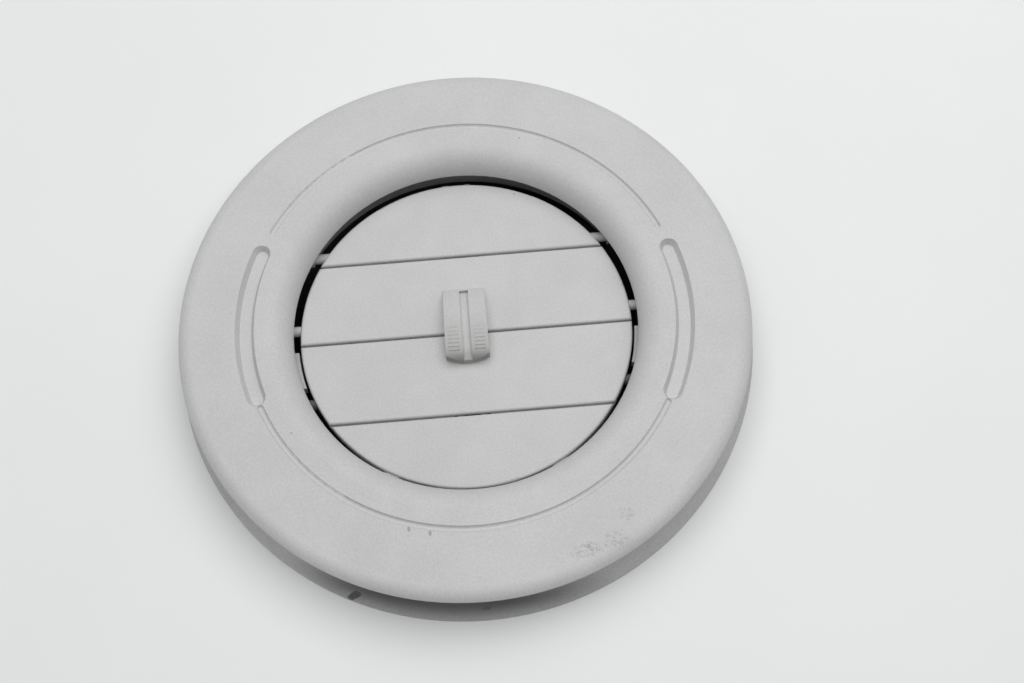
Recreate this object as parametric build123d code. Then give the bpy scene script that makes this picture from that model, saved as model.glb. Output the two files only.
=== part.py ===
# Round dashboard air vent: a flared base, a face ring locked on it, and a turning louvre of linked blades.
# Millimetres. +Z points out of the face, X runs along the blades, and z = 0 is the back of the base.
import os
from math import cos, radians, sin, sqrt

from build123d import *

# Face ring
BEZEL_R = 54.65
CREST_Z = 11.0
FACE_WALL = 2.0
RIM_ROUND = 2.7
RIM_ROLL_DEG = 60.0
RIM_EDGE_ROUND = 0.5
RIM_EDGE_DEG = 90.0
LIP_GAP = 1.0
LIP_ROUND = 5.0
LIP_EDGE = 0.3
SLOT_FROM_LIP = 3.55
SLOT_WIDTH = 2.9
SLOT_DRAFT = 0.7
SLOT_DEPTH = 1.3
SLOT_HALF_DEG = 20.9
SLOT_DROP_DEG = 1.9
GROOVE_WIDTH = 1.2
GROOVE_DEPTH = 0.5
GROOVE_HALF_DEG = 64.0
BEZEL_CLOCKING_DEG = -4.0
SPIGOT_INSET = 4.95
SPIGOT_WALL = 1.6
HOLD_RIB_WALL = 1.4

# Base
NECK_INSET = 2.35
FOOT_PAST = 1.35
FOOT_EDGE = 0.8
FLARE_COVE = 16.0
RIM_GAP = 0.5
FLOOR = 2.0
COLLAR_SHARE = 0.3
COLLAR_WALL = 2.0
GUSSETS = 8
GUSSET_WALL = 1.2
GUSSET_FOOT_GAP = 0.6
SCREWS = 4
SCREW_HOLE_R = 1.8
SCREW_SINK_R = 2.9
SEAL_INSET = 4.8
SEAL_WIDTH = 3.0
SEAL_THICKNESS = 1.0

# Twist lock between the face ring and the base
LUGS = 3
LUG_HALF_DEG = 6.0
LUG_REACH = 1.1
LUG_HEIGHT = 1.2
LUG_Z = 3.4
LUG_PLAY_DEG = 1.0
LOCK_TURN_DEG = 15.0

# Louvre
DISC_R = 32.3
BLADE_FACE_Z = 4.2
BLADE_WALL = 2.2
TONGUE_WALL = 1.0
LAP = 1.2
SEAM_GAP = 0.4
BLADE_EDGE = 0.45
BLADES = 4
BLADE_SHARE = 0.52
MIDDLE_SEAM_Y = -0.93
PIVOT_STEP_BACK = 1.2
PIVOT_ABOVE_SEAM = 2.63
PIVOT_Z = 2.6
TRUNNION_R = 1.0
TRUNNION_BOSS_R = 1.2
TRUNNION_BOSS_LENGTH = 9.0

# Carrier ring
CARRIER_GAP = 2.9
CARRIER_WALL = 1.8
CARRIER_BACK_Z = 0.4
FLANGE_PAST = 0.1
FLANGE_WALL = 0.8
BOSS_PROUD = 1.6
BOSS_HALF = 2.7
BOSS_WALL = 0.5
LEDGE_GAP = 0.45
LEDGE_TOP_Y = -2.1
LEDGE_LOW_Y = -9.6
LEDGE_Z = 3.7
LEDGE_WALL = 2.2

# Pivot bushes
BUSH_R = 1.55
BUSH_LENGTH = 2.8
BUSH_FLANGE_R = 1.9
BUSH_FLANGE = 0.6
SNAP_NECK = 2.6

# Link behind the blades
CRANK_STEP_BACK = 1.6
CRANK_Z = 1.45
CRANK_PIN_R = 0.65
CHEEK_WALL = 1.2
CHEEK_R = 1.15
CHEEK_FOOT = 3.0
ROD_WIDTH = 2.6
ROD_HEIGHT = 1.2
ROD_EYE_R = 1.15
ROD_MOUTH = 1.05
CHANNEL_WIDTH = 7.0
CHANNEL_DEPTH = 1.0

# Thumb tab
TAB_TOP_Y = 8.6
TAB_END_Y = -7.4
TAB_TOP_WIDTH = 8.0
TAB_END_WIDTH = 8.4
TAB_CREST_Y = 1.0
TAB_CREST_Z = 7.5
TAB_END_Z = 6.5
TAB_END_BOW = 0.95
TAB_END_ROUND = 1.8
TAB_CHANNEL = 1.7
TAB_CHANNEL_DEPTH = 0.8
TAB_CHANNEL_TOP_Y = 7.9
TAB_RIBS = 7
TAB_RIB_PITCH = 0.75
TAB_RIB_FIRST_Y = -5.4
TAB_RIB_LENGTH = 2.0
TAB_RIB_R = 0.25
TAB_RIB_PROUD = 0.1

# Glide ring
GLIDE_WALL = 0.7

# Clearances
RUN = 0.05
SEAT = 0.05
CLEAR = 0.3

# Places worked out from the sizes above
LIP_R = DISC_R + LIP_GAP
SLOT_R = LIP_R + LIP_ROUND + SLOT_FROM_LIP
SPIGOT_R = BEZEL_R - SPIGOT_INSET
BASE_INNER_R = SPIGOT_R + CLEAR
NECK_R = BEZEL_R - NECK_INSET
BASE_FOOT_R = BEZEL_R + FOOT_PAST
CARRIER_BORE_R = DISC_R + CARRIER_GAP
CARRIER_R = CARRIER_BORE_R + CARRIER_WALL
BOSS_R = CARRIER_R + BOSS_PROUD
COLLAR_R = BOSS_R + (BASE_INNER_R - BOSS_R) * COLLAR_SHARE
COLLAR_OUT_R = COLLAR_R + COLLAR_WALL
FLANGE_R = COLLAR_OUT_R + FLANGE_PAST
LEDGE_R = DISC_R + LEDGE_GAP
SEAL_R = BASE_FOOT_R - SEAL_INSET
SCREW_R = (COLLAR_OUT_R + BASE_INNER_R) / 2
BLADE_PITCH = DISC_R * BLADE_SHARE
PIVOT_PITCH = BLADE_PITCH - PIVOT_STEP_BACK
TOP_PIVOT_Y = MIDDLE_SEAM_Y + BLADE_PITCH + PIVOT_ABOVE_SEAM
CRANK = PIVOT_PITCH - CRANK_STEP_BACK
LIP_Z = CREST_Z - LIP_ROUND - LIP_EDGE
FACE_UNDER_Z = CREST_Z - FACE_WALL
RIM_TURN_DEG = 90 - RIM_ROLL_DEG
RIM_EDGE_R = BEZEL_R - RIM_EDGE_ROUND
RIM_X = RIM_EDGE_R - (RIM_ROUND - RIM_EDGE_ROUND) * cos(radians(RIM_TURN_DEG))
RIM_Z = CREST_Z - RIM_ROUND
RIM_EDGE_Z = RIM_Z + (RIM_ROUND - RIM_EDGE_ROUND) * sin(radians(RIM_TURN_DEG))
RIM_END_Z = RIM_EDGE_Z - RIM_EDGE_ROUND * sin(radians(RIM_EDGE_DEG - RIM_TURN_DEG))
BASE_TOP_Z = RIM_END_Z - RIM_GAP
CARRIER_TOP_Z = LIP_Z - CLEAR
FLANGE_Z = CARRIER_TOP_Z - FLANGE_WALL
COLLAR_TOP_Z = FLANGE_Z - GLIDE_WALL - CLEAR
BLADE_BACK_Z = BLADE_FACE_Z - BLADE_WALL
TONGUE_Z = BLADE_FACE_Z - TONGUE_WALL
CHANNEL_ROOF_Z = BLADE_BACK_Z + CHANNEL_DEPTH
CHEEK_X = ROD_WIDTH / 2 + CLEAR
PAST = 1.0
STANDING = (Align.CENTER, Align.CENTER, Align.MIN)


def pivot_y(number):
    """Height of a blade's pivot line, counted from the top blade."""
    return TOP_PIVOT_Y - PIVOT_PITCH * (number - 1)


def seam_y(number):
    """Height of the seam under a blade, counted from the top blade."""
    return MIDDLE_SEAM_Y + BLADE_PITCH * (BLADES / 2 - number)


def boss_x(number):
    """Outer face of the carrier's boss at a blade's pivot, with a wall left round the bush's flange."""
    y = abs(pivot_y(number))
    corner = disc_x(y + BOSS_HALF, BOSS_R)
    bore = disc_x(y - BUSH_FLANGE_R, CARRIER_BORE_R)
    return max(corner, bore + BOSS_WALL)


def disc_x(y, radius):
    """Half the chord of a circle at a height."""
    return sqrt(radius**2 - y**2)


def turned(outline):
    """A solid of revolution about Z from an outline of radius and height."""
    return revolve(Plane.XZ * make_face(outline), Axis.Z)


def ring(inner, outer, low, high):
    """A plain ring with a rectangular section."""
    return turned(Polyline((inner, low), (outer, low), (outer, high), (inner, high), close=True))


def sum_of(shapes):
    """Several solids joined in one shape."""
    first, *rest = shapes
    return first + rest


def block(x, y, z):
    """A box given by its three ranges."""
    size = Box(x[1] - x[0], y[1] - y[0], z[1] - z[0], align=(Align.MIN, Align.MIN, Align.MIN))
    return Pos(x[0], y[0], z[0]) * size


def rod_x(radius, x, y, z):
    """A cylinder along X between two places."""
    return Pos(x[0], y, z) * Rot(0, 90, 0) * Cylinder(radius, x[1] - x[0], align=STANDING)


def sector(inner, outer, low, high, middle_deg, half_deg):
    """A stretch of a ring, with radial ends."""
    profile = Polyline((inner, low), (outer, low), (outer, high), (inner, high), close=True)
    start = Rot(0, 0, middle_deg - half_deg)
    return start * revolve(Plane.XZ * make_face(profile), Axis.Z, revolution_arc=2 * half_deg)


def at_angle(radius, angle_deg):
    """A place on a circle in the face plane."""
    return radius * cos(radians(angle_deg)), radius * sin(radians(angle_deg))


def finger_slot(middle_deg):
    """Arc-shaped recess with leaning sides and round ends, cut from the face."""
    low, high = CREST_Z - SLOT_DEPTH, CREST_Z + PAST
    narrow = (SLOT_WIDTH - SLOT_DRAFT) / 2
    wide = narrow + SLOT_DRAFT * (high - low) / SLOT_DEPTH
    profile = Polyline(
        (SLOT_R - narrow, low), (SLOT_R + narrow, low),
        (SLOT_R + wide, high), (SLOT_R - wide, high), close=True)
    start = Rot(0, 0, middle_deg - SLOT_HALF_DEG)
    slot = start * revolve(Plane.XZ * make_face(profile), Axis.Z, revolution_arc=2 * SLOT_HALF_DEG)
    for end_deg in (middle_deg - SLOT_HALF_DEG, middle_deg + SLOT_HALF_DEG):
        x, y = at_angle(SLOT_R, end_deg)
        slot += Pos(x, y, low) * Cone(narrow, wide, high - low, align=STANDING)
    return slot


def face_groove(middle_deg):
    """Arc-shaped groove with a round bottom and round ends, as cutters for the face."""
    bit_r = (GROOVE_WIDTH**2 / 4 + GROOVE_DEPTH**2) / (2 * GROOVE_DEPTH)
    bit_z = CREST_Z + bit_r - GROOVE_DEPTH
    profile = Plane.XZ * Pos(SLOT_R, bit_z) * Circle(bit_r)
    start = Rot(0, 0, middle_deg - GROOVE_HALF_DEG)
    cutters = [start * revolve(profile, Axis.Z, revolution_arc=2 * GROOVE_HALF_DEG)]
    for end_deg in (middle_deg - GROOVE_HALF_DEG, middle_deg + GROOVE_HALF_DEG):
        x, y = at_angle(SLOT_R, end_deg)
        cutters.append(Pos(x, y, bit_z) * Sphere(bit_r))
    return cutters


def make_bezel():
    """Face ring: rolled lip, flat face with slots and groove, rolled rim, lock spigot and hold-down rib."""
    lip_x = LIP_R + LIP_ROUND
    lip_z = CREST_Z - LIP_ROUND
    under_lip = LIP_ROUND - FACE_WALL
    rim_in = BEZEL_R - FACE_WALL
    outline = Line((LIP_R + LIP_EDGE, LIP_Z), (LIP_R, lip_z))
    outline += CenterArc((lip_x, lip_z), LIP_ROUND, 180, -90)
    outline += Line((lip_x, CREST_Z), (RIM_X, CREST_Z))
    outline += CenterArc((RIM_X, RIM_Z), RIM_ROUND, 90, -RIM_ROLL_DEG)
    edge = CenterArc((RIM_EDGE_R, RIM_EDGE_Z), RIM_EDGE_ROUND, RIM_TURN_DEG, -RIM_EDGE_DEG)
    outline += [edge, Polyline(edge @ 1, (rim_in, RIM_END_Z), (rim_in, FACE_UNDER_Z), (lip_x, FACE_UNDER_Z))]
    outline += CenterArc((lip_x, lip_z), under_lip, 90, 90)
    outline += Polyline((LIP_R + FACE_WALL, lip_z), (LIP_R + FACE_WALL, LIP_Z), (LIP_R + LIP_EDGE, LIP_Z))
    bezel = turned(outline)
    into_face = FACE_UNDER_Z + FACE_WALL / 4
    bezel += ring(SPIGOT_R - SPIGOT_WALL, SPIGOT_R, FLOOR, into_face)
    bezel += ring(COLLAR_OUT_R - HOLD_RIB_WALL, COLLAR_OUT_R, CARRIER_TOP_Z + CLEAR, into_face)
    for number in range(LUGS):
        angle = BEZEL_CLOCKING_DEG + number * 360 / LUGS
        bezel += sector(SPIGOT_R - SEAT, SPIGOT_R + LUG_REACH, LUG_Z, LUG_Z + LUG_HEIGHT, angle, LUG_HALF_DEG)
    for side, drop in ((0, -SLOT_DROP_DEG), (180, SLOT_DROP_DEG)):
        bezel -= finger_slot(BEZEL_CLOCKING_DEG + side + drop)
        for cutter in face_groove(BEZEL_CLOCKING_DEG + side + 90):
            bezel -= cutter
    return bezel


def lock_track(angle):
    """L-shaped track in the base wall: a lug drops in beside its seat and turns into it."""
    outer = SPIGOT_R + LUG_REACH + CLEAR
    low = LUG_Z - CLEAR
    inner = BASE_INNER_R - PAST
    high = LUG_Z + LUG_HEIGHT + CLEAR
    half = LUG_HALF_DEG + LUG_PLAY_DEG
    run = sector(inner, outer, low, high, angle + LOCK_TURN_DEG / 2, half + LOCK_TURN_DEG / 2)
    entry = sector(inner, outer, low, BASE_TOP_Z + PAST, angle + LOCK_TURN_DEG, half)
    return run + entry


def make_base():
    """Coved plinth with a bearing collar, gussets, screw holes, lock tracks and a seal groove."""
    flare = RadiusArc((BASE_FOOT_R, FOOT_EDGE), (NECK_R, BASE_TOP_Z), FLARE_COVE)
    outline = flare + Polyline(
        (NECK_R, BASE_TOP_Z),
        (BASE_INNER_R, BASE_TOP_Z),
        (BASE_INNER_R, FLOOR),
        (COLLAR_OUT_R, FLOOR),
        (COLLAR_OUT_R, COLLAR_TOP_Z),
        (COLLAR_R, COLLAR_TOP_Z),
        (COLLAR_R, 0),
        (BASE_FOOT_R, 0),
        (BASE_FOOT_R, FOOT_EDGE),
    )
    base = turned(outline)
    gusset_end = SPIGOT_R - SPIGOT_WALL - GUSSET_FOOT_GAP
    gusset = make_face(
        Polyline(
            (COLLAR_OUT_R - COLLAR_WALL / 2, FLOOR / 2),
            (gusset_end, FLOOR / 2),
            (gusset_end, FLOOR),
            (COLLAR_OUT_R, COLLAR_TOP_Z),
            (COLLAR_OUT_R - COLLAR_WALL / 2, COLLAR_TOP_Z),
            close=True,
        )
    )
    for number in range(GUSSETS):
        web = extrude(Plane.XZ * gusset, GUSSET_WALL / 2, both=True)
        base += Rot(0, 0, (number + 0.5) * 360 / GUSSETS) * web
    sink = SCREW_SINK_R - SCREW_HOLE_R
    for number in range(SCREWS):
        x, y = at_angle(SCREW_R, number * 360 / SCREWS)
        base -= Pos(x, y, 0) * Cylinder(SCREW_HOLE_R, 3 * FLOOR)
        base -= Pos(x, y, FLOOR - sink) * Cone(SCREW_HOLE_R, SCREW_SINK_R, sink, align=STANDING)
    for number in range(LUGS):
        base -= lock_track(BEZEL_CLOCKING_DEG + number * 360 / LUGS)
    base -= ring(SEAL_R - SEAL_WIDTH / 2 - SEAT, SEAL_R + SEAL_WIDTH / 2 + SEAT, -PAST, SEAL_THICKNESS)
    return base


def keyhole(number):
    """Snap-in seats for a blade's two bushes: round, with a narrow neck open to the back."""
    y = pivot_y(number)
    seat = rod_x(BUSH_R + SEAT, (-BEZEL_R, BEZEL_R), y, PIVOT_Z)
    half = SNAP_NECK / 2
    neck = block((-BEZEL_R, BEZEL_R), (y - half, y + half), (CARRIER_BACK_Z - PAST, PIVOT_Z))
    return seat + neck


def spot_faces(number):
    """Room for a blade's two bush flanges where the ring's wall stands past the boss, open to the back."""
    x = boss_x(number)
    y = pivot_y(number)
    room = BUSH_FLANGE_R + SEAT
    faces = []
    for side in ((x, x + BOSS_HALF), (-x - BOSS_HALF, -x)):
        faces.append(rod_x(room, side, y, PIVOT_Z))
        faces.append(block(side, (y - room, y + room), (CARRIER_BACK_Z - PAST, PIVOT_Z)))
    return sum_of(faces)


def make_carrier():
    """Turning ring: bore, bearing flange, pivot bosses with snap-in seats, ledges beside the third blade."""
    carrier = ring(CARRIER_BORE_R, CARRIER_R, CARRIER_BACK_Z, CARRIER_TOP_Z)
    carrier += ring(CARRIER_R - CARRIER_WALL / 2, FLANGE_R, FLANGE_Z, CARRIER_TOP_Z)
    bosses = ring(CARRIER_BORE_R, COLLAR_R - CLEAR, CARRIER_BACK_Z, FLANGE_Z + FLANGE_WALL / 2)
    for number in range(1, BLADES + 1):
        y = pivot_y(number)
        x = boss_x(number)
        carrier += bosses & block((-x, x), (y - BOSS_HALF, y + BOSS_HALF), (0, CREST_Z))
    for number in range(1, BLADES + 1):
        carrier -= keyhole(number)
        carrier -= spot_faces(number)
    ledges = ring(LEDGE_R, CARRIER_BORE_R + CARRIER_WALL / 2, LEDGE_Z - LEDGE_WALL, LEDGE_Z)
    carrier += ledges & block((-BEZEL_R, BEZEL_R), (LEDGE_LOW_Y, LEDGE_TOP_Y), (0, CREST_Z))
    return carrier


def make_bush(number, side):
    """Flanged bush that a trunnion turns in, for the left (-1) or right (1) end of a blade."""
    x = boss_x(number)
    y = pivot_y(number)
    bush = rod_x(BUSH_R, (x - BUSH_LENGTH, x + SEAT), y, PIVOT_Z)
    bush += rod_x(BUSH_FLANGE_R, (x + SEAT, x + SEAT + BUSH_FLANGE), y, PIVOT_Z)
    bush -= rod_x(TRUNNION_R + RUN, (x - BUSH_LENGTH - PAST, x + BUSH_FLANGE + PAST), y, PIVOT_Z)
    if side < 0:
        bush = mirror(bush, Plane.YZ)
    return bush


def blade_section(number):
    """Section of a blade across its length: front tongue below, rear lip above, round front edges."""
    half_gap = SEAM_GAP / 2
    low = seam_y(number) + half_gap
    high = seam_y(number - 1) - half_gap
    body_low = low + LAP
    lip_top = high + SEAM_GAP + LAP - CLEAR
    lip_z = TONGUE_Z - CLEAR
    if number == BLADES:
        body_low = -DISC_R - PAST
        low = body_low
    if number == 1:
        high = DISC_R + PAST
        lip_top = high
    points = [(low, TONGUE_Z), (low, BLADE_FACE_Z), (high, BLADE_FACE_Z), (high, lip_z), (lip_top, lip_z)]
    points += [(lip_top, BLADE_BACK_Z), (body_low, BLADE_BACK_Z), (body_low, TONGUE_Z)]
    kept = [p for i, p in enumerate(points) if p != points[i - 1]]
    section = make_face(Polyline(*kept, close=True))
    front = [v for v in section.vertices() if abs(v.Y - BLADE_FACE_Z) < SEAT]
    return fillet(front, BLADE_EDGE)


def blade_disc():
    """Round envelope of the closed louvre, with its front rim rounded."""
    rim = DISC_R - BLADE_EDGE
    low = BLADE_BACK_Z - PAST
    round_z = BLADE_FACE_Z - BLADE_EDGE
    outline = Polyline((rim, BLADE_FACE_Z), (0, BLADE_FACE_Z), (0, low), (DISC_R, low), (DISC_R, round_z))
    outline += CenterArc((rim, round_z), BLADE_EDGE, 0, 90)
    return turned(outline)


def crank(number):
    """Two cheeks and a bridge pin that the link snaps on, behind a blade's upper edge."""
    y = pivot_y(number)
    pin_y = y + CRANK
    edge_y = min(seam_y(number - 1), DISC_R - LAP)
    foot_y = edge_y - CHEEK_FOOT
    foot_z = CHANNEL_ROOF_Z - CHEEK_R - SEAT
    ends = Pos(pin_y, CRANK_Z) * Circle(CHEEK_R) + Pos(foot_y, foot_z) * Circle(CHEEK_R)
    arm = make_hull(ends.edges())
    foot = Pos(foot_y, foot_z + CHEEK_R) * Rectangle(2 * CHEEK_R, 2 * CHEEK_R)
    cheek = extrude(Plane.YZ * (arm + foot), CHEEK_WALL)
    pair = Pos(CHEEK_X, 0, 0) * cheek + Pos(-CHEEK_X - CHEEK_WALL, 0, 0) * cheek
    reach = CHEEK_X + CHEEK_WALL / 2
    return pair + rod_x(CRANK_PIN_R, (-reach, reach), pin_y, CRANK_Z)


def trunnions(number):
    """Pivot pins at both ends of a blade, each rooted in a tapered boss along the blade."""
    y = pivot_y(number)
    end_x = disc_x(y, DISC_R)
    tip_x = boss_x(number) + BUSH_FLANGE
    root = (end_x - TRUNNION_BOSS_LENGTH, end_x - BLADE_EDGE)
    taper = Cone(TRUNNION_R / 2, TRUNNION_BOSS_R, root[1] - root[0], align=STANDING)
    boss = Pos(root[0], y, PIVOT_Z) * Rot(0, 90, 0) * taper
    pin = rod_x(TRUNNION_R, (root[1] - TRUNNION_R, tip_x), y, PIVOT_Z)
    right = boss + pin
    return right + mirror(right, Plane.YZ)


def tab_top_z(y):
    """Height of the tab's crowned top, a parabola through its foot, crest and end."""
    if y > TAB_CREST_Y:
        share = (y - TAB_CREST_Y) / (TAB_TOP_Y - TAB_CREST_Y)
        return TAB_CREST_Z - (TAB_CREST_Z - BLADE_FACE_Z) * share**2
    share = (y - TAB_CREST_Y) / (TAB_END_Y - TAB_CREST_Y)
    return TAB_CREST_Z - (TAB_CREST_Z - TAB_END_Z) * share**2


def tab_crown(drop):
    """Side view of the tab's top, from its foot to its end, lowered by a drop."""
    crown_middle = (TAB_CREST_Y + TAB_TOP_Y) / 2
    end_middle = (TAB_CREST_Y + TAB_END_Y) / 2
    places = (TAB_TOP_Y, crown_middle, TAB_CREST_Y, end_middle, TAB_END_Y)
    return Spline(*[(y, tab_top_z(y) - drop) for y in places])


def make_tab():
    """Thumb tab: a crowned tongue that rises from the second blade and hangs free over the third."""
    under_z = BLADE_FACE_Z + CLEAR + SEAT
    root_y = seam_y(2) + SEAM_GAP / 2
    root_z = TONGUE_Z
    side = tab_crown(0) + Polyline(
        (TAB_END_Y, TAB_END_Z),
        (TAB_END_Y, under_z),
        (root_y, under_z),
        (root_y, root_z),
        (TAB_TOP_Y, root_z),
        (TAB_TOP_Y, BLADE_FACE_Z),
    )
    section = make_face(side)
    end_corner = section.vertices().sort_by_distance((TAB_END_Y, TAB_END_Z))[0]
    section = fillet(end_corner, TAB_END_ROUND)
    tongue = extrude(Plane.YZ * section, TAB_END_WIDTH, both=True)
    corner_y = TAB_END_Y + TAB_END_BOW
    top = TAB_TOP_WIDTH / 2
    end = TAB_END_WIDTH / 2
    plan = Polyline((-end, corner_y), (-top, TAB_TOP_Y), (top, TAB_TOP_Y), (end, corner_y))
    plan += ThreePointArc((end, corner_y), (0, TAB_END_Y), (-end, corner_y))
    tab = tongue & extrude(make_face(plan), CREST_Z)
    above = tab_crown(TAB_CHANNEL_DEPTH) + Polyline(
        (TAB_END_Y, TAB_END_Z - TAB_CHANNEL_DEPTH),
        (TAB_END_Y, CREST_Z),
        (TAB_TOP_Y, CREST_Z),
        (TAB_TOP_Y, BLADE_FACE_Z - TAB_CHANNEL_DEPTH),
    )
    half = TAB_CHANNEL / 2
    length = block((-half, half), (TAB_END_Y - PAST, TAB_CHANNEL_TOP_Y), (BLADE_BACK_Z, CREST_Z))
    return tab, extrude(Plane.YZ * make_face(above), TAB_CHANNEL, both=True) & length


def tab_ribs():
    """Fine grip ribs across the two lands of the tab."""
    land = (TAB_CHANNEL + TAB_END_WIDTH) / 4
    ribs = []
    for number in range(TAB_RIBS):
        y = TAB_RIB_FIRST_Y + number * TAB_RIB_PITCH
        z = tab_top_z(y) - TAB_RIB_R + TAB_RIB_PROUD
        for middle in (-land, land):
            ribs.append(rod_x(TAB_RIB_R, (middle - TAB_RIB_LENGTH / 2, middle + TAB_RIB_LENGTH / 2), y, z))
    return sum_of(ribs)


def make_blade(number):
    """One louvre blade with its trunnions and crank; the second carries the thumb tab."""
    blade = extrude(Plane.YZ * blade_section(number), DISC_R + PAST, both=True) & blade_disc()
    half = CHANNEL_WIDTH / 2
    blade -= block((-half, half), (-BEZEL_R, BEZEL_R), (-PAST, CHANNEL_ROOF_Z))
    blade += crank(number)
    blade += trunnions(number)
    if number == 2:
        tab, channel = make_tab()
        blade += tab
        blade -= channel
        blade += tab_ribs()
    return blade


def make_rod():
    """Link bar with a snap-on eye at each crank pin."""
    places = [pivot_y(number) + CRANK for number in range(1, BLADES + 1)]
    half = ROD_WIDTH / 2
    rod = block((-half, half), (places[-1], places[0]), (CRANK_Z - ROD_HEIGHT / 2, CRANK_Z + ROD_HEIGHT / 2))
    for y in places:
        rod += rod_x(ROD_EYE_R, (-half, half), y, CRANK_Z)
    for y in places:
        rod -= rod_x(CRANK_PIN_R + RUN, (-BEZEL_R, BEZEL_R), y, CRANK_Z)
        rod -= block((-BEZEL_R, BEZEL_R), (y - ROD_MOUTH / 2, y + ROD_MOUTH / 2), (-PAST, CRANK_Z))
    return rod


def make_glide_ring():
    """Low-friction washer on the collar, under the carrier's flange."""
    return ring(COLLAR_R + SEAT, COLLAR_OUT_R - SEAT, COLLAR_TOP_Z, COLLAR_TOP_Z + GLIDE_WALL)


def make_seal():
    """Foam ring let into the back of the base, flush with it."""
    return ring(SEAL_R - SEAL_WIDTH / 2, SEAL_R + SEAL_WIDTH / 2, 0, SEAL_THICKNESS)


def make_parts():
    """Every piece of the vent by name."""
    parts = {"base": make_base(), "bezel": make_bezel(), "louvre_carrier": make_carrier()}
    for number in range(1, BLADES + 1):
        parts[f"blade_{number}"] = make_blade(number)
    for number in range(1, BLADES + 1):
        parts[f"pivot_bush_{number}_left"] = make_bush(number, -1)
        parts[f"pivot_bush_{number}_right"] = make_bush(number, 1)
    parts["link_rod"] = make_rod()
    parts["glide_ring"] = make_glide_ring()
    parts["duct_seal"] = make_seal()
    return parts


os.makedirs("parts", exist_ok=True)
for name, shape in make_parts().items():
    export_step(shape, f"parts/{name}.step")
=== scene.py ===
"""Finishes and stage for the round dashboard air vent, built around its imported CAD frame."""
from math import cos, radians, sin, tau

import bmesh
import bpy
from bpy.props import FloatProperty, FloatVectorProperty, PointerProperty
from mathutils import Matrix, Vector


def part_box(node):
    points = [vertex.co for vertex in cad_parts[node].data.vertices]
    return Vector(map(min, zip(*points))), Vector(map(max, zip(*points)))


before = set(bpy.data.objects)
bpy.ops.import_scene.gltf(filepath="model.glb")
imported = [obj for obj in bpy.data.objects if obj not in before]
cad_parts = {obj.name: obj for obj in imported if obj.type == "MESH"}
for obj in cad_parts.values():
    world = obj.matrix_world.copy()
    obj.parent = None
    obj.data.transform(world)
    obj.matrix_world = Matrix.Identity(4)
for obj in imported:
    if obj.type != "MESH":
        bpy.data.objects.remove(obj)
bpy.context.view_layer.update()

bl_info = {
    "name": "Dashboard Air Vent",
    "version": (1, 0, 0),
    "blender": (4, 5, 0),
    "location": "3D View > Sidebar > Air Vent",
    "description": "Finishes a round dashboard air vent and sets its studio stage",
    "category": "Object",
}

CREST_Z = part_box("bezel")[1].z
MM = 0.001
IMAGE_WIDTH = 1024
IMAGE_HEIGHT = 683
SENSOR_WIDTH_MM = 36.0

# Names of the CAD nodes that share a finish
TAB_BLADE = "blade_2"
BLADE_NODES = ["blade_1", "blade_3", "blade_4"]
BUSH_NODES = [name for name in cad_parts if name.startswith("pivot_bush")]

# The middle of a noise's range, which holds most of its values
NOISE_BODY = (0.3, 0.7)

# Moulded plastic: how much fine grain shows in its tone against slow patches, and the grain's relief in mm
SPECKLE = 7.0
GRAIN_RELIEF = 0.05

# Moulded plastic: how far its roughness swings about the mean, and how often within a tone patch
ROUGHNESS_SWING = (-0.05, 0.06)
SHEENS_PER_PATCH = 3.0

# Level of gloss of moulded plastic, and of foam and table
PLASTIC_GLOSS = 0.4
MATT_GLOSS = 0.2

# Foam: cells in each mm, where a pore begins and ends, its relief in mm and the share of colour deep in it
FOAM_CELLS = 1.6
FOAM_PORE = (0.12, 0.5)
FOAM_RELIEF = 0.3
FOAM_DEEP = 0.35

# Handling marks: where in its reach a mark fades, flecks in each mm, how bare it is and how soft its edge
MARK_FADE = (0.25, 1.0)
MARK_FLECKS = 1.5
MARK_BARE = 0.35
MARK_EDGE = (0.0, 0.3)

# Marks of handling, and painted shade on the trunnions, each where it lies on its piece: centre in mm,
# reach in mm, cover, strength
FACE_SCUFFS = (
    ((18.4, -47.4, 10.6), (8.0, 4.2, 3.6), 0.47, 0.72),
    ((23.8, -45.9, 10.6), (7.5, 4.4, 3.6), 0.47, 0.6),
    ((26.2, -41.3, 10.6), (4.8, 3.4, 3.6), 0.47, 0.5),
)
FACE_SPECKS = (
    ((-12.6, -40.9, 11.0), (0.4, 0.75, 0.6), 0.95, 0.6),
    ((-8.9, -42.0, 11.0), (0.4, 0.75, 0.6), 0.95, 0.65),
    ((13.6, 38.0, 10.9), (0.28, 0.28, 0.6), 0.95, 0.6),
    ((22.2, 29.4, 9.6), (0.3, 0.26, 1.2), 0.95, 0.6),
    ((-33.2, -21.1, 10.9), (0.3, 0.26, 0.6), 0.95, 0.6),
)
BLADE_SPECKS = (((11.7, 29.1, 4.2), (0.3, 0.3, 0.6), 0.95, 0.4),)
# Painted shade on blade_3's trunnions and the bushes, where they show in the dark gap round the blades
TRUNNION_SHADE = (
    ((-31.0, -12.7, 2.6), (3.0, 3.0, 2.3), 1.0, 0.95),
    ((31.0, -12.7, 2.6), (3.0, 3.0, 2.3), 1.0, 0.95),
)
PLINTH_MARKS = (
    ((-24.4, -50.0, 1.2), (1.0, 0.9, 0.9), 0.9, 0.85),
    ((-23.8, -49.85, 1.75), (1.3, 1.0, 1.1), 0.9, 0.85),
    ((-23.2, -49.7, 2.3), (1.3, 1.0, 1.2), 0.9, 0.85),
    ((0.0, -54.4, 3.0), (1.3, 0.9, 0.7), 0.9, 0.5),
)

# Darkening on the thumb tab: where it begins and is full, in mm along the tab, on its end and up from its
# foot
TAB_DARKENING_Y = (6.0, -5.0)
TAB_END_Y = (-4.2, -7.2)
TAB_FOOT_Z = (4.3, 5.0)

# Darkening on the thumb tab: half width of its channel in mm, and the share of the darkening that lies in
# the channel
TAB_CHANNEL_X = (0.75, 0.95)
TAB_CHANNEL_SHARE = 0.3
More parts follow.
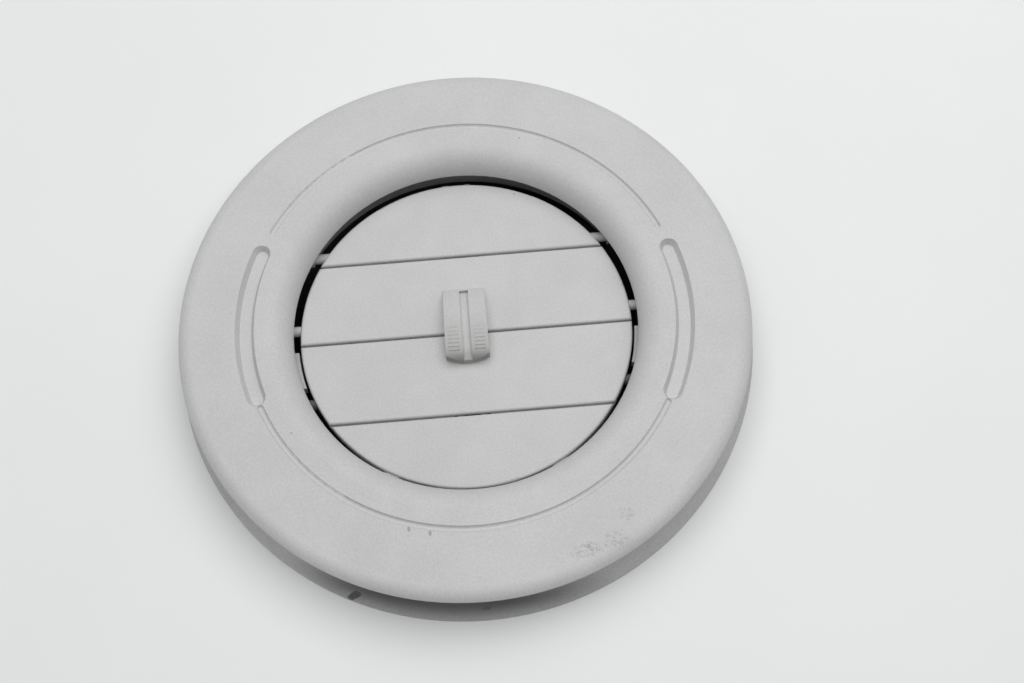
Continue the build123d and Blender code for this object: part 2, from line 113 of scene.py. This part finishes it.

# Painted shade on the base under the face ring's rim, at the front: the side it lies on, and in mm from
# where it begins to where it is full
RIM_SHADE_SIDE = (-0.139, -0.99, 0.0)
RIM_SHADE_REACH = (45.0, 53.0)
RIM_SHADE_Z = (-0.8, 4.0)

# Table: its drop under the vent and the size of its tone patches in mm, its duller tone, and its corners
TABLE_DROP = 0.02
TABLE_PATCH = 50.0
TABLE_DULL = 0.985
TABLE_CORNERS = 128

# Well in the table, whose dark tones are painted shade seen through the gap round the blades: the size of
# its tone patches in mm, and its darkest and palest tones
WELL_PATCH = 10.0
WELL_SHADE_TONES = (0.16, 0.2)

# Directions that the room light comes from
ROOM_SIDES = ((1, 0, 0), (0, 1, 0), (-1, 0, 0), (0, -1, 0))


class VentFinish(bpy.types.PropertyGroup):
    """Colours and textures of the vent's materials"""

    plastic_color: FloatVectorProperty(
        name="Plastic", description="Light grey of the face ring and blades",
        subtype="COLOR", size=3, min=0, max=1, default=(0.565, 0.566, 0.564))
    plinth_color: FloatVectorProperty(
        name="Plinth", description="Light grey of the base and the carrier",
        subtype="COLOR", size=3, min=0, max=1, default=(0.50, 0.50, 0.497))
    soil_color: FloatVectorProperty(
        name="Soil", description="Grey of scuffs, specks and handling marks",
        subtype="COLOR", size=3, min=0, max=1, default=(0.24, 0.238, 0.23))
    # Dark grey of the painted shade under the rim's front and on the trunnions in the gap, and of the real
    # marks on the base
    grime_and_shade_color: FloatVectorProperty(
        name="Grime", description="Dark grey of grime under the rim and of grease on the trunnions",
        subtype="COLOR", size=3, min=0, max=1, default=(0.07, 0.07, 0.068))
    bush_color: FloatVectorProperty(
        name="Bushes", description="Natural tone of the pivot bushes",
        subtype="COLOR", size=3, min=0, max=1, default=(0.60, 0.59, 0.56))
    link_color: FloatVectorProperty(
        name="Link", description="Black of the link behind the blades",
        subtype="COLOR", size=3, min=0, max=1, default=(0.035, 0.035, 0.036))
    glide_color: FloatVectorProperty(
        name="Glide ring", description="White of the low-friction ring",
        subtype="COLOR", size=3, min=0, max=1, default=(0.74, 0.74, 0.72))
    foam_color: FloatVectorProperty(
        name="Foam", description="Charcoal of the duct seal",
        subtype="COLOR", size=3, min=0, max=1, default=(0.045, 0.045, 0.047))
    # Darkening of the tab towards its free end, and further darkening on its rounded end
    tab_darkening: FloatProperty(
        name="Tab soil", description="Soil that thumbs have left at the free end of the tab",
        subtype="FACTOR", min=0, max=1, default=0.32)
    tab_end_darkening: FloatProperty(
        name="Tab end soil", description="Further soil on the rounded end of the tab",
        subtype="FACTOR", min=0, max=1, default=0.5)
    # Strength of the painted shade on the base under the face ring's rim, at the front
    rim_shade: FloatProperty(
        name="Rim soil", description="Grime on the base under the face ring's rim, at the front",
        subtype="FACTOR", min=0, max=1, default=0.93)
    plastic_roughness: FloatProperty(
        name="Plastic roughness", description="Mean roughness of the face ring and blades",
        subtype="FACTOR", min=0, max=1, default=0.56)
    grain_pitch: FloatProperty(
        name="Grain pitch", description="Spacing of the moulded surface grain",
        subtype="DISTANCE", unit="LENGTH", min=0.0001, max=0.005, default=0.00042)
    patch_size: FloatProperty(
        name="Patch size", description="Size of the slow tone changes over the plastic",
        subtype="DISTANCE", unit="LENGTH", min=0.001, max=0.1, default=0.014)


class VentStage(bpy.types.PropertyGroup):
    """Floor, light and camera of the vent's studio"""

    floor_color: FloatVectorProperty(
        name="Floor", description="Colour of the pale table",
        subtype="COLOR", size=3, min=0, max=1, default=(0.87, 0.883, 0.883))
    floor_radius: FloatProperty(
        name="Floor radius", description="Reach of the table around the vent",
        subtype="DISTANCE", unit="LENGTH", min=0.2, max=10, default=0.6)
    well_radius: FloatProperty(
        name="Well radius", description="Round hole under the vent, where opened blades have room",
        subtype="DISTANCE", unit="LENGTH", min=0.01, max=0.2, default=0.043)
    well_depth: FloatProperty(
        name="Well depth", description="Depth of the hole under the vent",
        subtype="DISTANCE", unit="LENGTH", min=0.01, max=0.5, default=0.06)
    lens: FloatProperty(
        name="Lens", description="Focal length of the camera in millimetres", min=10, max=300, default=45.6)
    camera_depth: FloatProperty(
        name="Camera depth", description="Distance to the face along the line of sight",
        subtype="DISTANCE", unit="LENGTH", min=0.05, max=5, default=0.24627)
    camera_elevation: FloatProperty(
        name="Camera elevation", description="Angle of the line of sight above the table",
        subtype="ANGLE", unit="ROTATION", default=radians(66.594))
    camera_roll: FloatProperty(
        name="Camera roll", description="Turn of the camera about its line of sight",
        subtype="ANGLE", unit="ROTATION", default=radians(-2.554))
    camera_azimuth: FloatProperty(
        name="Camera azimuth", description="Turn of the camera round the vent",
        subtype="ANGLE", unit="ROTATION", default=radians(-2.298))
    face_pixel: FloatVectorProperty(
        name="Face in the picture", description="Pixel where the middle of the face ring's crest lies",
        size=2, default=(464.44, 314.03))
    key_energy: FloatProperty(
        name="Key power", description="Power of the large overhead light",
        subtype="POWER", unit="POWER", min=0, default=3.1)
    key_size: FloatProperty(
        name="Key size", description="Side of the large overhead light",
        subtype="DISTANCE", unit="LENGTH", min=0.01, max=5, default=0.7)
    key_place: FloatVectorProperty(
        name="Key place", description="Place of the large overhead light",
        subtype="TRANSLATION", unit="LENGTH", size=3, default=(0.06, 0.10, 0.50))
    room_color: FloatVectorProperty(
        name="Room light", description="Colour of the light that comes from all round",
        subtype="COLOR", size=3, min=0, max=1, default=(1.0, 1.0, 1.0))
    room_strengths: FloatVectorProperty(
        name="Room strengths", description="Strength of the room light from +X, +Y, -X and -Y",
        size=4, min=0, max=2, default=(0.33, 0.08, 0.42, 0.15))
    backdrop_strength: FloatProperty(
        name="Backdrop", description="Paleness of the room where it is seen or mirrored",
        subtype="FACTOR", min=0, max=1, default=0.42)


def feed(tree, node, **inputs):
    """Gives a node's named input sockets their values, each another socket or a constant."""
    for key, value in inputs.items():
        feed_socket(tree, node.inputs[key.replace("_", " ")], value)


def feed_socket(tree, socket, value):
    """Gives one input socket its value, which is another socket or a constant."""
    if isinstance(value, bpy.types.NodeSocket):
        tree.links.new(value, socket)
    else:
        socket.default_value = value


def add_node(tree, kind, settings=(), **inputs):
    """A new shader node, with its settings and the values of its input sockets."""
    node = tree.nodes.new(kind)
    for key, value in dict(settings).items():
        setattr(node, key, value)
    feed(tree, node, **inputs)
    return node


def math_node(tree, operation, *values):
    """Result of a maths node whose values are sockets or numbers."""
    node = add_node(tree, "ShaderNodeMath", {"operation": operation})
    for socket, value in zip(node.inputs, values):
        feed_socket(tree, socket, value)
    return node.outputs["Value"]


def vector_node(tree, operation, *values):
    """Result of a vector maths node whose values are sockets or vectors."""
    node = add_node(tree, "ShaderNodeVectorMath", {"operation": operation})
    for socket, value in zip(node.inputs, values):
        feed_socket(tree, socket, value)
    return node.outputs["Value" if operation in ("LENGTH", "DOT_PRODUCT") else "Vector"]


def spread(tree, value, low, high, new_low=0.0, new_high=1.0):
    """Smoothly maps one range of a value to another."""
    node = add_node(
        tree, "ShaderNodeMapRange", {"interpolation_type": "SMOOTHSTEP"},
        Value=value, From_Min=low, From_Max=high, To_Min=new_low, To_Max=new_high)
    return node.outputs["Result"]


def noise(tree, vector, scale, detail=2.0, rough=0.5):
    """Noise over a vector, at a scale that is a number or a socket."""
    node = add_node(tree, "ShaderNodeTexNoise", Vector=vector, Scale=scale, Detail=detail, Roughness=rough)
    return node.outputs["Fac"]


def mix_color(tree, share, first, second):
    """Mixes two colours, each a socket or a colour value, by a share that may pass 0 and 1."""
    node = add_node(tree, "ShaderNodeMix", {"data_type": "RGBA", "clamp_factor": False}, Factor=share)
    first_socket, second_socket = (socket for socket in node.inputs if socket.type == "RGBA")
    for socket, value in ((first_socket, first), (second_socket, second)):
        feed_socket(tree, socket, value if isinstance(value, bpy.types.NodeSocket) else (*value, 1.0))
    return next(socket for socket in node.outputs if socket.type == "RGBA")


def millimetres(tree):
    """Place on the piece in millimetres."""
    place = tree.nodes.new("ShaderNodeTexCoord").outputs["Object"]
    return vector_node(tree, "MULTIPLY", place, (1 / MM,) * 3)


def separate(tree, vector):
    """The X, Y and Z of a vector."""
    return add_node(tree, "ShaderNodeSeparateXYZ", Vector=vector).outputs


def new_group(name, inputs, outputs):
    """A shader node group with named sockets: the group, its inputs and its outputs."""
    group = bpy.data.node_groups.new(name, "ShaderNodeTree")
    for socket, kind, default in inputs:
        made = group.interface.new_socket(socket, in_out="INPUT", socket_type=kind)
        made.default_value = default
    for socket in outputs:
        group.interface.new_socket(socket, in_out="OUTPUT", socket_type="NodeSocketFloat")
    return group, group.nodes.new("NodeGroupInput"), group.nodes.new("NodeGroupOutput")


def moulding_grain():
    """Group for moulded plastic: the height of its fine grain, its slow tone patches and its sheen."""
    if "moulding_grain" in bpy.data.node_groups:
        return bpy.data.node_groups["moulding_grain"]
    group, given, out = new_group(
        "moulding_grain",
        (("Pitch", "NodeSocketFloat", 0.4), ("Patch", "NodeSocketFloat", 14.0)),
        ("Height", "Patches", "Sheen"))
    place = millimetres(group)
    grains = math_node(group, "DIVIDE", 1.0, given.outputs["Pitch"])
    patches = math_node(group, "DIVIDE", 1.0, given.outputs["Patch"])
    sheens = math_node(group, "DIVIDE", SHEENS_PER_PATCH, given.outputs["Patch"])
    height = noise(group, place, grains, detail=3.0, rough=0.62)
    tone = spread(group, noise(group, place, patches, detail=3.0, rough=0.55), *NOISE_BODY)
    sheen = spread(group, noise(group, place, sheens), *NOISE_BODY)
    feed(group, out, Height=height, Patches=tone, Sheen=sheen)
    return group


def handling_mark():
    """Group for one mark of handling: a broken patch around a place on the piece."""
    if "handling_mark" in bpy.data.node_groups:
        return bpy.data.node_groups["handling_mark"]
    group, given, out = new_group(
        "handling_mark",
        (("Centre", "NodeSocketVector", (0, 0, 0)), ("Reach", "NodeSocketVector", (1, 1, 1)),
         ("Cover", "NodeSocketFloat", 0.5)),
        ("Mask",))
    place = millimetres(group)
    away = vector_node(group, "SUBTRACT", place, given.outputs["Centre"])
    away = vector_node(group, "DIVIDE", away, given.outputs["Reach"])
    near = spread(group, vector_node(group, "LENGTH", away), *MARK_FADE, 1.0, 0.0)
    flecks = noise(group, place, MARK_FLECKS, detail=4.0, rough=0.7)
    cover = math_node(group, "MULTIPLY", near, math_node(group, "ADD", given.outputs["Cover"], flecks))
    bare = math_node(group, "SUBTRACT", 1.0 + MARK_BARE, given.outputs["Cover"])
    feed(group, out, Mask=spread(group, math_node(group, "SUBTRACT", cover, bare), *MARK_EDGE))
    return group


def place_group(tree, group, **inputs):
    """A group node in a material, with the values of its sockets."""
    return add_node(tree, "ShaderNodeGroup", {"node_tree": group}, **inputs)


def new_material(name):
    """An empty material with a Principled shader: the material, its node tree and the shader."""
    material = bpy.data.materials.new(name)
    material.use_nodes = True
    tree = material.node_tree
    return material, tree, tree.nodes["Principled BSDF"]


def marked(tree, color, marks, soil_and_shade):
    """A colour with marks laid over it: handling marks, and painted shade where the marks stand for it."""
    for centre, reach, cover, strength in marks:
        mark = place_group(tree, handling_mark(), Centre=centre, Reach=reach, Cover=cover)
        share = math_node(tree, "MULTIPLY", mark.outputs["Mask"], strength)
        color = mix_color(tree, share, color, soil_and_shade)
    return color


def tab_darkening_share(tree):
    """Share of darkening on the thumb tab: most at its free end, and more on the lands than in the channel.
    """
    finish = bpy.context.scene.vent_finish
    place = separate(tree, millimetres(tree))
    along = spread(tree, place["Y"], *TAB_DARKENING_Y, 0.0, finish.tab_darkening)
    end = spread(tree, place["Y"], *TAB_END_Y, 0.0, finish.tab_end_darkening)
    above = spread(tree, place["Z"], *TAB_FOOT_Z)
    land = spread(tree, math_node(tree, "ABSOLUTE", place["X"]), *TAB_CHANNEL_X, TAB_CHANNEL_SHARE, 1.0)
    share = math_node(tree, "ADD", math_node(tree, "MULTIPLY", along, land), end)
    return math_node(tree, "MULTIPLY", share, above)


def rim_shade(tree):
    """Share of painted shade on the base, which lies under the face ring's rim at the front."""
    place = millimetres(tree)
    rise = spread(tree, separate(tree, place)["Z"], *RIM_SHADE_Z)
    toward = vector_node(tree, "DOT_PRODUCT", place, RIM_SHADE_SIDE)
    amount = spread(tree, toward, *RIM_SHADE_REACH, 0.0, bpy.context.scene.vent_finish.rim_shade)
    return math_node(tree, "MULTIPLY", rise, amount)


def moulded_plastic(
        name, color, roughness, marks=(), soil_and_shade=None, darkening=None, grain=1.0, bump=0.3, tone=0.05):
    """Satin moulded plastic with fine grain, slow tone patches and its own marks, which are handling marks
    and painted shade, and a darkening share where one is given.
    """
    finish = bpy.context.scene.vent_finish
    material, tree, shader = new_material(name)
    texture = place_group(
        tree, moulding_grain(), Pitch=finish.grain_pitch / MM * grain, Patch=finish.patch_size / MM).outputs
    pale = tuple(min(1.0, part * (1 + tone / 2)) for part in color)
    dull = tuple(part * (1 - tone / 2) for part in color)
    speckle = math_node(tree, "MULTIPLY_ADD", texture["Height"], SPECKLE, texture["Patches"])
    shade = mix_color(tree, math_node(tree, "SUBTRACT", speckle, SPECKLE / 2), dull, pale)
    shade = marked(tree, shade, marks, soil_and_shade)
    # Darkening share given by the caller: painted shade under the rim on the base, and darkening towards
    # the free end on the tab
    if darkening:
        shade = mix_color(tree, darkening(tree), shade, soil_and_shade)
    rough = spread(tree, texture["Sheen"], 0.0, 1.0, *(roughness + swing for swing in ROUGHNESS_SWING))
    relief = add_node(
        tree, "ShaderNodeBump", Strength=bump, Distance=GRAIN_RELIEF * MM, Height=texture["Height"])
    feed(tree, shader, Base_Color=shade, Roughness=rough, Normal=relief.outputs["Normal"])
    feed(tree, shader, Specular_IOR_Level=PLASTIC_GLOSS)
    return material


def cell_foam(name, color):
    """Open-cell foam: small dark pores in a matt body."""
    material, tree, shader = new_material(name)
    cells = add_node(
        tree, "ShaderNodeTexVoronoi", Vector=millimetres(tree), Scale=FOAM_CELLS, Randomness=1.0)
    pore = spread(tree, cells.outputs["Distance"], *FOAM_PORE)
    shade = mix_color(tree, pore, tuple(part * FOAM_DEEP for part in color), color)
    relief = add_node(tree, "ShaderNodeBump", Strength=0.8, Distance=FOAM_RELIEF * MM, Height=pore)
    feed(tree, shader, Base_Color=shade, Normal=relief.outputs["Normal"])
    feed(tree, shader, Roughness=0.95, Specular_IOR_Level=MATT_GLOSS)
    return material


def dress(nodes, material):
    """Gives CAD nodes a material."""
    for name in nodes:
        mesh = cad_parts[name].data
        mesh.materials.clear()
        mesh.materials.append(material)


class VENT_OT_face_ring(bpy.types.Operator):
    """Finish the face ring with its finger slots and groove"""

    bl_idname = "vent.face_ring"
    bl_label = "Face Ring"

    def execute(self, context):
        finish = context.scene.vent_finish
        material = moulded_plastic(
            "face_satin", finish.plastic_color, finish.plastic_roughness,
            marks=FACE_SCUFFS + FACE_SPECKS, soil_and_shade=finish.soil_color)
        dress(["bezel"], material)
        return {"FINISHED"}


class VENT_OT_plinth(bpy.types.Operator):
    """Finish the flared base"""

    bl_idname = "vent.plinth"
    bl_label = "Plinth"

    def execute(self, context):
        finish = context.scene.vent_finish
        # The base's darkening under the rim at the front is painted shade
        material = moulded_plastic(
            "plinth_satin", finish.plinth_color, roughness=0.6,
            marks=PLINTH_MARKS, soil_and_shade=finish.grime_and_shade_color, darkening=rim_shade, tone=0.08)
        dress(["base"], material)
        return {"FINISHED"}


class VENT_OT_blades(bpy.types.Operator):
    """Finish the four louvre blades and the thumb tab"""

    bl_idname = "vent.blades"
    bl_label = "Louvre Blades"

    def execute(self, context):
        finish = context.scene.vent_finish
        # The dark patches at the trunnions are painted shade of the gap round the blades
        plain = moulded_plastic(
            "blade_satin", finish.plastic_color, finish.plastic_roughness,
            marks=BLADE_SPECKS + TRUNNION_SHADE, soil_and_shade=finish.grime_and_shade_color)
        dress(BLADE_NODES, plain)
        tab_material = moulded_plastic(
            "tab_satin", finish.plastic_color, finish.plastic_roughness,
            soil_and_shade=finish.soil_color, darkening=tab_darkening_share)
        dress([TAB_BLADE], tab_material)
        return {"FINISHED"}


class VENT_OT_carrier(bpy.types.Operator):
    """Finish the ring that carries the blades"""

    bl_idname = "vent.carrier"
    bl_label = "Louvre Carrier"

    def execute(self, context):
        finish = context.scene.vent_finish
        material = moulded_plastic("carrier_satin", finish.plinth_color, roughness=0.62, grain=1.3)
        dress(["louvre_carrier"], material)
        return {"FINISHED"}


class VENT_OT_bushes(bpy.types.Operator):
    """Finish the pivot bushes"""

    bl_idname = "vent.bushes"
    bl_label = "Pivot Bushes"

    def execute(self, context):
        finish = context.scene.vent_finish
        # The dark patches at the trunnions are painted shade of the gap round the blades
        material = moulded_plastic(
            "bush_natural", finish.bush_color, roughness=0.42,
            marks=TRUNNION_SHADE, soil_and_shade=finish.grime_and_shade_color, grain=0.6, bump=0.06)
        dress(BUSH_NODES, material)
        return {"FINISHED"}


class VENT_OT_link(bpy.types.Operator):
    """Finish the link that ties the blades together"""

    bl_idname = "vent.link"
    bl_label = "Link"

    def execute(self, context):
        finish = context.scene.vent_finish
        material = moulded_plastic("link_black", finish.link_color, roughness=0.45, bump=0.1, tone=0.2)
        dress(["link_rod"], material)
        return {"FINISHED"}


class VENT_OT_glide(bpy.types.Operator):
    """Finish the low-friction ring under the carrier"""

    bl_idname = "vent.glide"
    bl_label = "Glide Ring"

    def execute(self, context):
        finish = context.scene.vent_finish
        material = moulded_plastic("glide_white", finish.glide_color, roughness=0.35, grain=2.0, bump=0.04)
        dress(["glide_ring"], material)
        return {"FINISHED"}


class VENT_OT_seal(bpy.types.Operator):
    """Finish the foam seal let into the back"""

    bl_idname = "vent.seal"
    bl_label = "Duct Seal"

    def execute(self, context):
        dress(["duct_seal"], cell_foam("seal_foam_cells", context.scene.vent_finish.foam_color))
        return {"FINISHED"}


def circle_points(radius, height):
    """Points round the vent's axis."""
    turns = (tau * number / TABLE_CORNERS for number in range(TABLE_CORNERS))
    return [(radius * cos(turn), radius * sin(turn), height) for turn in turns]


def make_floor(stage):
    """Pale table with a dark well under the vent."""
    top = -TABLE_DROP * MM
    rings = [circle_points(stage.floor_radius, top), circle_points(stage.well_radius, top),
             circle_points(stage.well_radius, -stage.well_depth)]
    shape = bmesh.new()
    loops = [[shape.verts.new(point) for point in ring] for ring in rings]
    for level, (outer, inner) in enumerate(zip(loops, loops[1:])):
        for number in range(len(outer)):
            face = shape.faces.new(
                (outer[number], outer[number - 1], inner[number - 1], inner[number]))
            face.material_index = level
    shape.faces.new(loops[-1]).material_index = 1
    bmesh.ops.recalc_face_normals(shape, faces=shape.faces)
    mesh = bpy.data.meshes.new("table")
    shape.to_mesh(mesh)
    shape.free()
    floor = bpy.data.objects.new("table", mesh)
    bpy.context.scene.collection.objects.link(floor)
    mesh.materials.append(table_paint(stage))
    mesh.materials.append(well_shade_paint())


def table_paint(stage):
    """Matt white table with faint slow changes of tone."""
    material, tree, shader = new_material("table_matt")
    slow = spread(tree, noise(tree, millimetres(tree), 1 / TABLE_PATCH), *NOISE_BODY)
    dull = tuple(part * TABLE_DULL for part in stage.floor_color)
    feed(tree, shader, Base_Color=mix_color(tree, slow, dull, stage.floor_color))
    feed(tree, shader, Roughness=0.8, Specular_IOR_Level=MATT_GLOSS)
    return material


def well_shade_paint():
    """Dark matt wall of the hole under the vent, painted dark as the shade seen through the gap round the
    blades.
    """
    material, tree, shader = new_material("well_shade_matt")
    slow = spread(tree, noise(tree, millimetres(tree), 1 / WELL_PATCH), *NOISE_BODY)
    dark, pale = ((tone,) * 3 for tone in WELL_SHADE_TONES)
    feed(tree, shader, Base_Color=mix_color(tree, slow, dark, pale), Roughness=0.9)
    return material


def make_lights(stage):
    """Soft light from above, and a room light with a strength for each side."""
    lamp = bpy.data.lights.new("overhead_panel", "AREA")
    lamp.shape = "SQUARE"
    lamp.size = stage.key_size
    lamp.energy = stage.key_energy
    panel = bpy.data.objects.new("overhead_panel", lamp)
    panel.location = stage.key_place
    panel.rotation_euler = panel.location.to_track_quat("Z", "Y").to_euler()
    bpy.context.scene.collection.objects.link(panel)
    world = bpy.data.worlds.new("room_light")
    world.use_nodes = True
    tree = world.node_tree
    direction = tree.nodes.new("ShaderNodeTexCoord").outputs["Generated"]
    light = 0.0
    for side, strength in zip(ROOM_SIDES, stage.room_strengths):
        toward = vector_node(tree, "DOT_PRODUCT", direction, side)
        light = math_node(tree, "ADD", spread(tree, toward, 0.0, 1.0, 0.0, strength), light)
    rays = tree.nodes.new("ShaderNodeLightPath").outputs
    seen = 0.0
    for kind in ("Is Camera Ray", "Is Glossy Ray", "Is Transmission Ray"):
        seen = math_node(tree, "MAXIMUM", rays[kind], seen)
    light = math_node(tree, "MAXIMUM", light, math_node(tree, "MULTIPLY", seen, stage.backdrop_strength))
    feed(tree, tree.nodes["Background"], Color=(*stage.room_color, 1.0), Strength=light)
    bpy.context.scene.world = world


def make_camera(stage):
    """Camera that sees the face ring's crest at its pixel of the picture, from the picture's angle."""
    data = bpy.data.cameras.new("camera")
    data.sensor_width = SENSOR_WIDTH_MM
    data.lens = stage.lens
    data.clip_start = 0.01
    elevation = stage.camera_elevation
    back = Vector((0, -cos(elevation), sin(elevation)))
    right = Vector((1, 0, 0))
    up = back.cross(right)
    turn = stage.camera_roll
    across = right * cos(turn) + up * sin(turn)
    upward = up * cos(turn) - right * sin(turn)
    axes = Matrix((across, upward, back)).transposed()
    axes = Matrix.Rotation(stage.camera_azimuth, 3, "Z") @ axes
    depth = stage.camera_depth
    pixel_size = depth * SENSOR_WIDTH_MM / stage.lens / IMAGE_WIDTH
    sight = Vector((
        (stage.face_pixel[0] - IMAGE_WIDTH / 2) * pixel_size,
        (IMAGE_HEIGHT / 2 - stage.face_pixel[1]) * pixel_size,
        -depth))
    place = Vector((0, 0, CREST_Z)) - axes @ sight
    camera = bpy.data.objects.new("camera", data)
    camera.matrix_world = Matrix.Translation(place) @ axes.to_4x4()
    bpy.context.scene.collection.objects.link(camera)
    bpy.context.scene.camera = camera


class VENT_OT_stage(bpy.types.Operator):
    """Set the table, the soft light and the camera"""

    bl_idname = "vent.stage"
    bl_label = "Stage"

    def execute(self, context):
        stage = context.scene.vent_stage
        make_floor(stage)
        make_lights(stage)
        make_camera(stage)
        context.scene.view_settings.view_transform = "Standard"
        return {"FINISHED"}


OPERATORS = (
    VENT_OT_face_ring,
    VENT_OT_plinth,
    VENT_OT_blades,
    VENT_OT_carrier,
    VENT_OT_bushes,
    VENT_OT_link,
    VENT_OT_glide,
    VENT_OT_seal,
    VENT_OT_stage,
)


class VENT_PT_panel(bpy.types.Panel):
    """Lists the vent's pieces and its stage"""

    bl_idname = "VENT_PT_panel"
    bl_label = "Air Vent"
    bl_space_type = "VIEW_3D"
    bl_region_type = "UI"
    bl_category = "Air Vent"

    def draw(self, context):
        layout = self.layout
        for settings in (context.scene.vent_finish, context.scene.vent_stage):
            column = layout.column(align=True)
            for name in settings.__annotations__:
                column.prop(settings, name)
        for operator in OPERATORS:
            layout.operator(operator.bl_idname)


CLASSES = (VentFinish, VentStage, *OPERATORS, VENT_PT_panel)


def register():
    """Registers the vent's classes and puts its settings on the scene."""
    for item in CLASSES:
        bpy.utils.register_class(item)
    bpy.types.Scene.vent_finish = PointerProperty(type=VentFinish)
    bpy.types.Scene.vent_stage = PointerProperty(type=VentStage)


def unregister():
    """Takes the vent's settings off the scene and its classes out of Blender."""
    del bpy.types.Scene.vent_stage
    del bpy.types.Scene.vent_finish
    for item in reversed(CLASSES):
        bpy.utils.unregister_class(item)


def main():
    register()
    bpy.ops.vent.face_ring()
    bpy.ops.vent.plinth()
    bpy.ops.vent.blades()
    bpy.ops.vent.carrier()
    bpy.ops.vent.bushes()
    bpy.ops.vent.link()
    bpy.ops.vent.glide()
    bpy.ops.vent.seal()
    bpy.ops.vent.stage()


if __name__ == "__main__":
    main()
